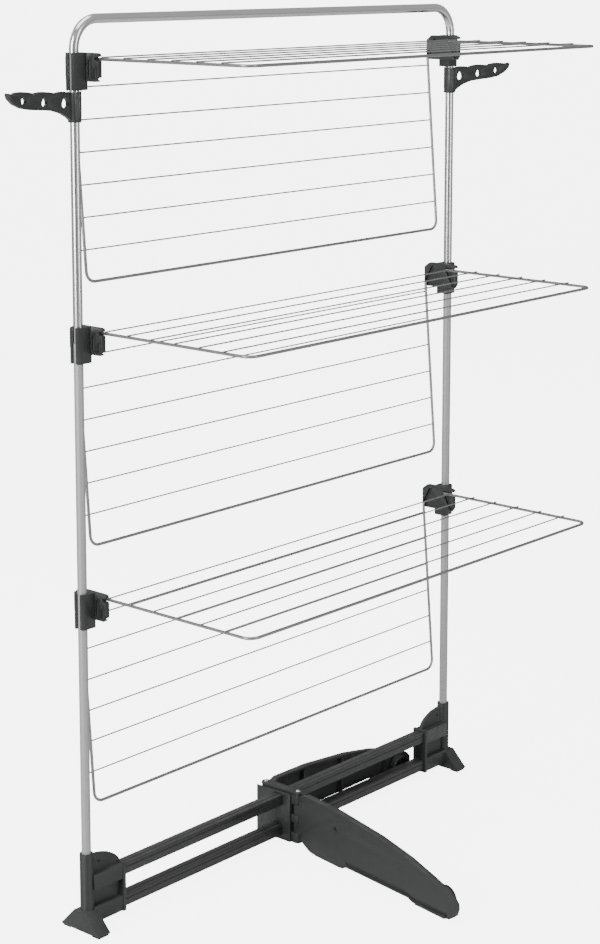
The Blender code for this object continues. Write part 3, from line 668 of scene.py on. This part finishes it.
class AIRER_OT_clips(bpy.types.Operator):
    """Finish the six shelf clips and their screws"""

    bl_idname = "airer.clips"
    bl_label = "Shelf Clips"

    def execute(self, context):
        for level in LEVELS:
            for side in SIDES:
                self.clip(level, side)
        return {"FINISHED"}

    def clip(self, level, side):
        name = f"bracket_{level}_{side}"
        pin = pivot(f"shelf_front_{level}_fold")
        x, inward = side_sign(side) * POST_X, -side_sign(side)
        edge = sorted(x + inward * face for face in RIB_FACE)
        ribs = []
        for face in (-1.0, 1.0):
            for y, low, high in CLIP_RIBS:
                span = sorted((POST_Y + face * (y - RIB_HALF), POST_Y + face * (y + RIB_HALF)))
                ribs.append(cube((edge[0], span[0], pin.z + low), (edge[1], span[1], pin.z + high)))
        mesh = shaped(name, copy_of(name), joins=ribs, width=sizes().edge * 0.5)
        piece(f"shelf_clip_{level}_{side}", mesh, "clip", "frame", "clip", name)
        screw = f"bracket_screw_{level}_{side}"
        spot = middle(screw)
        place = Matrix.Translation((spot.x, POST_Y + 0.0140, spot.z)) @ Matrix.Rotation(-math.pi / 2, 4, "X")
        mesh = screw_mesh(screw)
        piece(f"clip_screw_{level}_{side}", mesh, "zinc", "frame", "fastener", screw, matrix=place)


# ---------------------------------------------------------------- shelves
class AIRER_OT_shelves(bpy.types.Operator):
    """Bend and weld the six wire shelves and set their pivot bushes"""

    bl_idname = "airer.shelves"
    bl_label = "Wire Shelves"

    def execute(self, context):
        for row in ROWS:
            for level in LEVELS:
                self.shelf(row, level)
                for side in SIDES:
                    self.bush(row, level, side)
        return {"FINISHED"}

    def shelf(self, row, level):
        """A bent edge wire, the cross wires on top of it and a weld bead at every crossing."""
        name = f"shelf_{row}_{level}_grid"
        work = bmesh.new()
        stub = POST_X - TRACK_FLOOR - 0.0006
        far = -SHELF_DEPTH
        corners = [(-stub, 0, 0), (-GRID_X, 0, 0), (-GRID_X, far, 0)]
        corners += [(GRID_X, far, 0), (GRID_X, 0, 0), (stub, 0, 0)]
        path = rounded_path(corners, [0.004, SHELF_CORNER_R, SHELF_CORNER_R, 0.004], 8)
        sweep(work, path, circle_ring(SIDE_WIRE_R, sizes().wire_sides))
        ring = circle_ring(CROSS_WIRE_R, sizes().wire_sides - 4)
        hinge_reach = POST_X - PLATE_INNER - 0.0006
        half = sizes().weld
        for i in range(CROSS_COUNT):
            y = -(STUB_TO_CROSS + i * CROSS_PITCH)
            reach = GRID_X + CROSS_OVERHANG if i else hinge_reach
            sag = [(reach * t, y, CROSS_RISE) for t in (-1.0, -0.5, 0.0, 0.5, 1.0)]
            sweep(work, sag, ring, dome=CROSS_WIRE_R)
            for side in (-1.0, 1.0):
                bead(work, (side * GRID_X, y, SIDE_WIRE_R * 0.86), (half, half * 0.8, half * 0.42))
        pose = Matrix.Translation(pivot(f"shelf_{row}_{level}_fold"))
        if row == "rear":
            pose = pose @ Matrix.Rotation(math.pi, 4, "Z") @ Matrix.Rotation(FOLD_ANGLE, 4, "X")
        mesh = to_mesh(work, name)
        piece(f"wire_shelf_{row}_{level}", mesh, "wire", f"shelf_{row}_{level}", "wire", name, matrix=pose)

    def bush(self, row, level, side):
        name = f"shelf_{row}_{level}_bush_{side}"
        low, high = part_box(name)
        length, radius = high.x - low.x, (high.z - low.z) / 2
        bore = 0.0033
        lip = 0.0006
        profile = [(radius - lip, length), (radius, length - lip), (radius, lip), (radius - lip, 0.0)]
        profile += [(bore + lip, 0.0), (bore, lip), (bore, length - lip), (bore + lip, length)]
        place = Matrix.Translation((low.x, middle(name).y, middle(name).z)) @ Matrix.Rotation(math.pi / 2, 4, "Y")
        body = f"shelf_{row}_{level}_carrier"
        mesh = lathe(name, profile, 28)
        piece(f"pivot_bush_{row}_{level}_{side}", mesh, "bush", body, "bush", name, matrix=place)


# ---------------------------------------------------------------- hanger arms
class AIRER_OT_hangers(bpy.types.Operator):
    """Finish the two swivelling hanger arms"""

    bl_idname = "airer.hangers"
    bl_label = "Hanger Arms"

    def execute(self, context):
        heading = {"left": math.pi + math.radians(3.0), "right": math.radians(-13.0)}
        for side in SIDES:
            name = f"hanger_{side}"
            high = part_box(name)[1]
            place = Matrix.Translation((side_sign(side) * POST_X, POST_Y, high.z))
            place = place @ Matrix.Rotation(heading[side], 4, "Z")
            collar = 0.054
            ribs = []
            for turn in (55, 90, 125, 235, 270, 305, 180, 155, 205):
                a = math.radians(turn)
                x, y = 0.0124 * math.cos(a), 0.0124 * math.sin(a)
                ribs.append(cylinder((x, y, -collar + 0.003), (x, y, -0.003), 0.0007, 8))
            mesh = shaped(name, copy_of(name), joins=ribs, width=sizes().edge, matrix=place)
            piece(f"hanger_arm_{side}", mesh, "hanger", name, "hanger", name)
        return {"FINISHED"}


# ---------------------------------------------------------------- feet and rails
class AIRER_OT_feet(bpy.types.Operator):
    """Finish the two moulded feet and their rubber pads"""

    bl_idname = "airer.feet"
    bl_label = "Feet"

    def execute(self, context):
        for side in SIDES:
            name = f"foot_{side}"
            x = side_sign(side) * POST_X
            inward = -side_sign(side)
            ends = sorted((x - inward * 0.0190, x + inward * 0.0110))
            web = cube((ends[0], POST_Y - 0.0310, 0.0034), (ends[1], POST_Y + 0.0310, 0.0120))
            mesh = shaped(name, copy_of(name), joins=[web], width=sizes().edge * 1.2)
            piece(f"moulded_foot_{side}", mesh, "base", "frame", "base", name)
            for row in ROWS:
                pad_piece(f"foot_pad_{side}_{row}", f"sole_pad_{side}_{row}", "frame")
        return {"FINISHED"}


def pad_piece(node_name, name, body):
    """A rubber pad with grooves across its sole."""
    low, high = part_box(node_name)
    grooves = []
    count = 5
    for i in range(1, count):
        y = low.y + (high.y - low.y) * i / count
        near, far = (low.x - 0.01, y - 0.0005, low.z - 0.001), (high.x + 0.01, y + 0.0005, low.z + 0.0007)
        grooves.append(cube(near, far))
    mesh = shaped(node_name, copy_of(node_name), cuts=grooves, width=0.0004)
    piece(name, mesh, "pad", body, "pad", node_name)


class AIRER_OT_rails(bpy.types.Operator):
    """Extrude the two base rails with their groove lines"""

    bl_idname = "airer.rails"
    bl_label = "Base Rails"

    def execute(self, context):
        for level in ("upper", "lower"):
            name = f"rail_{level}"
            low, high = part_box(name)
            width, height = high.y - low.y, high.z - low.z
            section = self.section(width, height)
            centre = (low.z + high.z) / 2
            path = [(x, POST_Y, centre) for x in (low.x, 0.0, high.x)]
            piece(f"base_rail_{level}", swept(name, path, section), "rail", "frame", "rail", name, angle=25)
        return {"FINISHED"}

    def section(self, width, height):
        """A rounded box section with one groove along the top and one along each side."""
        r, w, h = 0.0018, width / 2, height / 2
        groove, depth = 0.0010, 0.0014
        arc = [math.pi / 2 * i / 4 for i in range(5)]
        points = [(w - r + r * math.cos(t), h - r + r * math.sin(t)) for t in arc]
        for y in (-0.0025,):
            points += [(y + groove, h), (y + groove * 0.4, h - depth)]
            points += [(y - groove * 0.4, h - depth), (y - groove, h)]
        points += [(-w + r - r * math.sin(t), h - r + r * math.cos(t)) for t in arc]
        z = 0.0035
        points += [(-w, z + groove), (-w + depth, z + groove * 0.4)]
        points += [(-w + depth, z - groove * 0.4), (-w, z - groove)]
        points += [(-w + r - r * math.cos(t), -h + r - r * math.sin(t)) for t in arc]
        points += [(w - r + r * math.sin(t), -h + r - r * math.cos(t)) for t in arc]
        points += [(w, z - groove), (w - depth, z - groove * 0.4)]
        points += [(w - depth, z + groove * 0.4), (w, z + groove)]
        return points


# ---------------------------------------------------------------- hub
class AIRER_OT_hub(bpy.types.Operator):
    """Finish the hub, its cap and the two hinge pins"""

    bl_idname = "airer.hub"
    bl_label = "Hub"

    def execute(self, context):
        mesh = shaped("hub_body", copy_of("hub_body"), width=sizes().edge)
        piece("hub_block", mesh, "base", "frame", "base", "hub_body")
        mesh = shaped("hub_cap", copy_of("hub_cap"), width=sizes().edge)
        piece("hub_cap_bar", mesh, "base", "frame", "base", "hub_cap")
        for row in ROWS:
            self.pin(row)
        return {"FINISHED"}

    def pin(self, row):
        name = f"hinge_pin_{row}"
        low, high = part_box(name)
        top, radius, shank = high.z - low.z, 0.0048, 0.0030
        under = top - 0.0030
        dome = [(radius * math.sin(t), under + 0.0008 + 0.0022 * math.cos(t)) for t in (0, 0.3, 0.6, 0.9, 1.2, 1.5)]
        profile = [*dome, (radius, under), (shank, under), (shank, 0.0008), (shank - 0.0008, 0.0), (0.0, 0.0)]
        place = Matrix.Translation((middle(name).x, middle(name).y, low.z))
        piece(f"leg_pin_{row}", lathe(name, profile, 28), "zinc", "frame", "fastener", name, matrix=place)


# ---------------------------------------------------------------- legs and wheels
class AIRER_OT_legs(bpy.types.Operator):
    """Finish the two fold-out legs, their pads, axles and wheels"""

    bl_idname = "airer.legs"
    bl_label = "Legs And Wheels"

    def execute(self, context):
        for row in ROWS:
            inward = 1.0 if row == "front" else -1.0
            place = Matrix.Translation((*pivot(f"leg_{row}_swing").xy, 0.0)) @ Matrix.Rotation(LEG_OPEN[row], 4, "Z")
            self.leg(row, inward, place)
            pad_piece(f"leg_pad_{row}", f"leg_sole_{row}", f"leg_{row}")
            axle = place @ Matrix.Translation((WHEEL_AT[0], 0, WHEEL_AT[1]))
            axle = axle @ Matrix.Rotation(-inward * math.pi / 2, 4, "X")
            self.wheel(row, axle)
        return {"FINISHED"}

    def leg(self, row, inward, place):
        name = f"leg_{row}"
        outer = -inward * LEG_HALF
        cuts = []
        floor = [(0.160, 0.0105), (0.342, 0.0115), (0.357, 0.0065), (0.455, 0.0065)]
        band = 0.0090
        groove = floor + [(s - 0.002, z + band) for s, z in reversed(floor)]
        cuts.append(prism(groove, "Y", *sorted((outer - outer * 0.7, outer * 1.3))))
        ring = lathe("tool", [(0.0062, -0.001), (0.0062, 0.0006), (0.0050, 0.0006), (0.0050, -0.001)], 24)
        side = Matrix.Translation((0.126, outer, 0.078)) @ Matrix.Rotation(inward * math.pi / 2, 4, "X")
        ring.transform(side @ Matrix.Translation((0, 0, -0.0003)))
        cuts.append(ring)
        mesh = shaped(name, copy_of(name), cuts=cuts, width=sizes().edge, matrix=place)
        piece(f"fold_out_leg_{row}", mesh, "leg", f"leg_{row}", "leg", name)

    def wheel(self, row, axle):
        far = WHEEL_FROM + WHEEL_WIDTH
        near = WHEEL_FROM
        rim, web, hub, bore = WHEEL_R, 0.0215, 0.0085, 0.0035
        dish = 0.0035
        tread = [(rim - 0.0016, far), (rim - 0.0004, far - 0.0006), (rim, far - 0.0018)]
        for i in range(4):
            z = far - 0.0034 - i * 0.0026
            tread += [(rim, z + 0.0006), (rim - 0.0006, z + 0.0003)]
            tread += [(rim - 0.0006, z - 0.0003), (rim, z - 0.0006)]
        tread += [(rim, near + 0.0018), (rim - 0.0004, near + 0.0006), (rim - 0.0016, near)]
        inner = [(web, near), (web - 0.0008, near + dish)]
        inner += [(hub + 0.0008, near + dish), (hub, near), (bore, near)]
        outer = [(bore, far), (hub, far), (hub + 0.0008, far - dish), (web - 0.0008, far - dish), (web, far)]
        mesh = lathe(f"wheel_{row}", tread + inner + outer, 48)
        holes = []
        for i in range(6):
            t = 2 * math.pi * i / 6
            x, y = 0.0150 * math.cos(t), 0.0150 * math.sin(t)
            holes.append(cylinder((x, y, near - 0.001), (x, y, far + 0.001), 0.0036, 20))
        mesh = shaped(f"wheel_{row}", mesh, cuts=holes)
        body = f"wheel_{row}"
        piece(f"roller_{row}", mesh, "wheel", body, "wheel", f"wheel_{row}", matrix=axle)
        dome = [(0.0, 0.0026), (0.0022, 0.0025), (0.0040, 0.0021), (0.0054, 0.0014), (0.0060, 0.0007)]
        head = [(r, far + z) for r, z in dome]
        profile = [*head, (0.0030, far + 0.0006), (0.0030, -0.0024), (0.0024, -0.0030), (0.0, -0.0030)]
        pin = lathe(f"axle_{row}", profile, 28)
        piece(f"roller_axle_{row}", pin, "zinc", f"leg_{row}", "fastener", f"axle_{row}", matrix=axle)


# ---------------------------------------------------------------- stage
class AIRER_OT_stage(bpy.types.Operator):
    """Set the pale floor, the soft lights and the camera"""

    bl_idname = "airer.stage"
    bl_label = "Stage"

    def execute(self, context):
        self.floor()
        self.world()
        self.lights()
        self.cards()
        self.camera(context)
        return {"FINISHED"}

    def floor(self):
        work = bmesh.new()
        bmesh.ops.create_grid(work, x_segments=1, y_segments=1, size=30.0)
        mesh = to_mesh(work, "studio_floor")
        obj = bpy.data.objects.new("studio_floor", mesh)
        bpy.context.scene.collection.objects.link(obj)
        made, tree, shader = blank("studio_floor", 0.85, 0.0, Specular_IOR_Level=0.1)
        shader.inputs["Base Color"].default_value = (0.8, 0.8, 0.8, 1.0)
        shader.inputs["Emission Color"].default_value = (1.0, 1.0, 1.0, 1.0)
        seen = node(tree, "ShaderNodeLightPath").outputs["Is Camera Ray"]
        tree.links.new(math_node(tree, "MULTIPLY", seen, 5.5), shader.inputs["Emission Strength"])
        mesh.materials.append(made)

    def world(self):
        world = bpy.data.worlds.new("studio")
        bpy.context.scene.world = world
        world.use_nodes = True
        background = world.node_tree.nodes["Background"]
        background.inputs["Color"].default_value = (1.0, 1.0, 1.0, 1.0)
        seen = node(world.node_tree, "ShaderNodeLightPath").outputs["Is Camera Ray"]
        strength = math_node(world.node_tree, "MULTIPLY_ADD", seen, 5.5, 0.5)
        world.node_tree.links.new(strength, background.inputs["Strength"])

    def card(self, name, place, width, height):
        """A tall dark card that only reflections and shadows see; it draws the streaks on the bright tube."""
        work = bmesh.new()
        turn = (Vector((0.0, 0.2, place[2])) - Vector(place)).to_track_quat("Z", "Y").to_matrix().to_4x4()
        shape = Matrix.Translation(place) @ turn @ Matrix.Diagonal((width, height, 1.0, 1.0))
        bmesh.ops.create_grid(work, x_segments=1, y_segments=1, size=0.5, matrix=shape)
        mesh = to_mesh(work, name)
        obj = bpy.data.objects.new(name, mesh)
        bpy.context.scene.collection.objects.link(obj)
        made, _, shader = blank(name, 0.9, 0.0)
        shader.inputs["Base Color"].default_value = (0.012, 0.012, 0.012, 1.0)
        mesh.materials.append(made)
        obj.visible_camera = False

    def cards(self):
        self.card("card_behind_camera", (-4.6, -3.9, 1.6), 1.5, 4.4)
        self.card("card_far_left", (1.6, 6.0, 1.6), 3.4, 4.4)
        self.card("card_far_right", (5.8, 2.4, 1.6), 3.4, 4.4)

    def light(self, name, place, target, size, power):
        data = bpy.data.lights.new(name, "AREA")
        data.shape = "RECTANGLE"
        data.size, data.size_y = size
        data.energy = power
        obj = bpy.data.objects.new(name, data)
        bpy.context.scene.collection.objects.link(obj)
        obj.location = place
        obj.rotation_euler = (Vector(target) - Vector(place)).to_track_quat("-Z", "Y").to_euler()

    def lights(self):
        centre = (0.0, 0.2, 1.0)
        self.light("key_softbox", (-4.4, 0.1, 2.2), centre, (1.5, 3.4), 190.0)
        self.light("front_softbox", (0.4, -4.4, 1.9), centre, (0.7, 3.4), 60.0)
        self.light("top_softbox", (-0.6, 0.2, 4.4), centre, (2.6, 2.6), 70.0)
        self.light("rim_softbox", (-0.6, 4.6, 2.4), centre, (1.0, 2.6), 50.0)

    def camera(self, context):
        data = bpy.data.cameras.new("camera")
        data.sensor_width = 36.0
        data.lens = 82.07
        data.shift_y = -0.2
        obj = bpy.data.objects.new("camera", data)
        context.scene.collection.objects.link(obj)
        obj.location = (-3.1713, -2.6095, 1.8273)
        obj.rotation_euler = (math.radians(90.0 - 8.732), 0.0, math.radians(-48.719))
        context.scene.camera = obj


# ---------------------------------------------------------------- panel and registration
OPERATORS = (
    AIRER_OT_stage,
    AIRER_OT_tubes,
    AIRER_OT_clips,
    AIRER_OT_shelves,
    AIRER_OT_hangers,
    AIRER_OT_feet,
    AIRER_OT_rails,
    AIRER_OT_hub,
    AIRER_OT_legs,
)


class AIRER_PT_panel(bpy.types.Panel):
    """Lists the settings and the operators"""

    bl_idname = "AIRER_PT_panel"
    bl_label = "Tower Clothes Airer"
    bl_space_type = "VIEW_3D"
    bl_region_type = "UI"
    bl_category = "Airer"

    def draw(self, context):
        for settings in (context.scene.airer_sizes, context.scene.airer_colours):
            for name in settings.__annotations__:
                self.layout.prop(settings, name)
        for operator in OPERATORS:
            self.layout.operator(operator.bl_idname)


CLASSES = (AirerColours, AirerSizes, *OPERATORS, AIRER_PT_panel)


def register():
    for made in CLASSES:
        bpy.utils.register_class(made)
    bpy.types.Scene.airer_colours = PointerProperty(type=AirerColours)
    bpy.types.Scene.airer_sizes = PointerProperty(type=AirerSizes)


def unregister():
    del bpy.types.Scene.airer_sizes
    del bpy.types.Scene.airer_colours
    for made in reversed(CLASSES):
        bpy.utils.unregister_class(made)


def main():
    register()
    for operator in OPERATORS:
        family, action = operator.bl_idname.split(".")
        getattr(getattr(bpy.ops, family), action)()


if __name__ == "__main__":
    main()
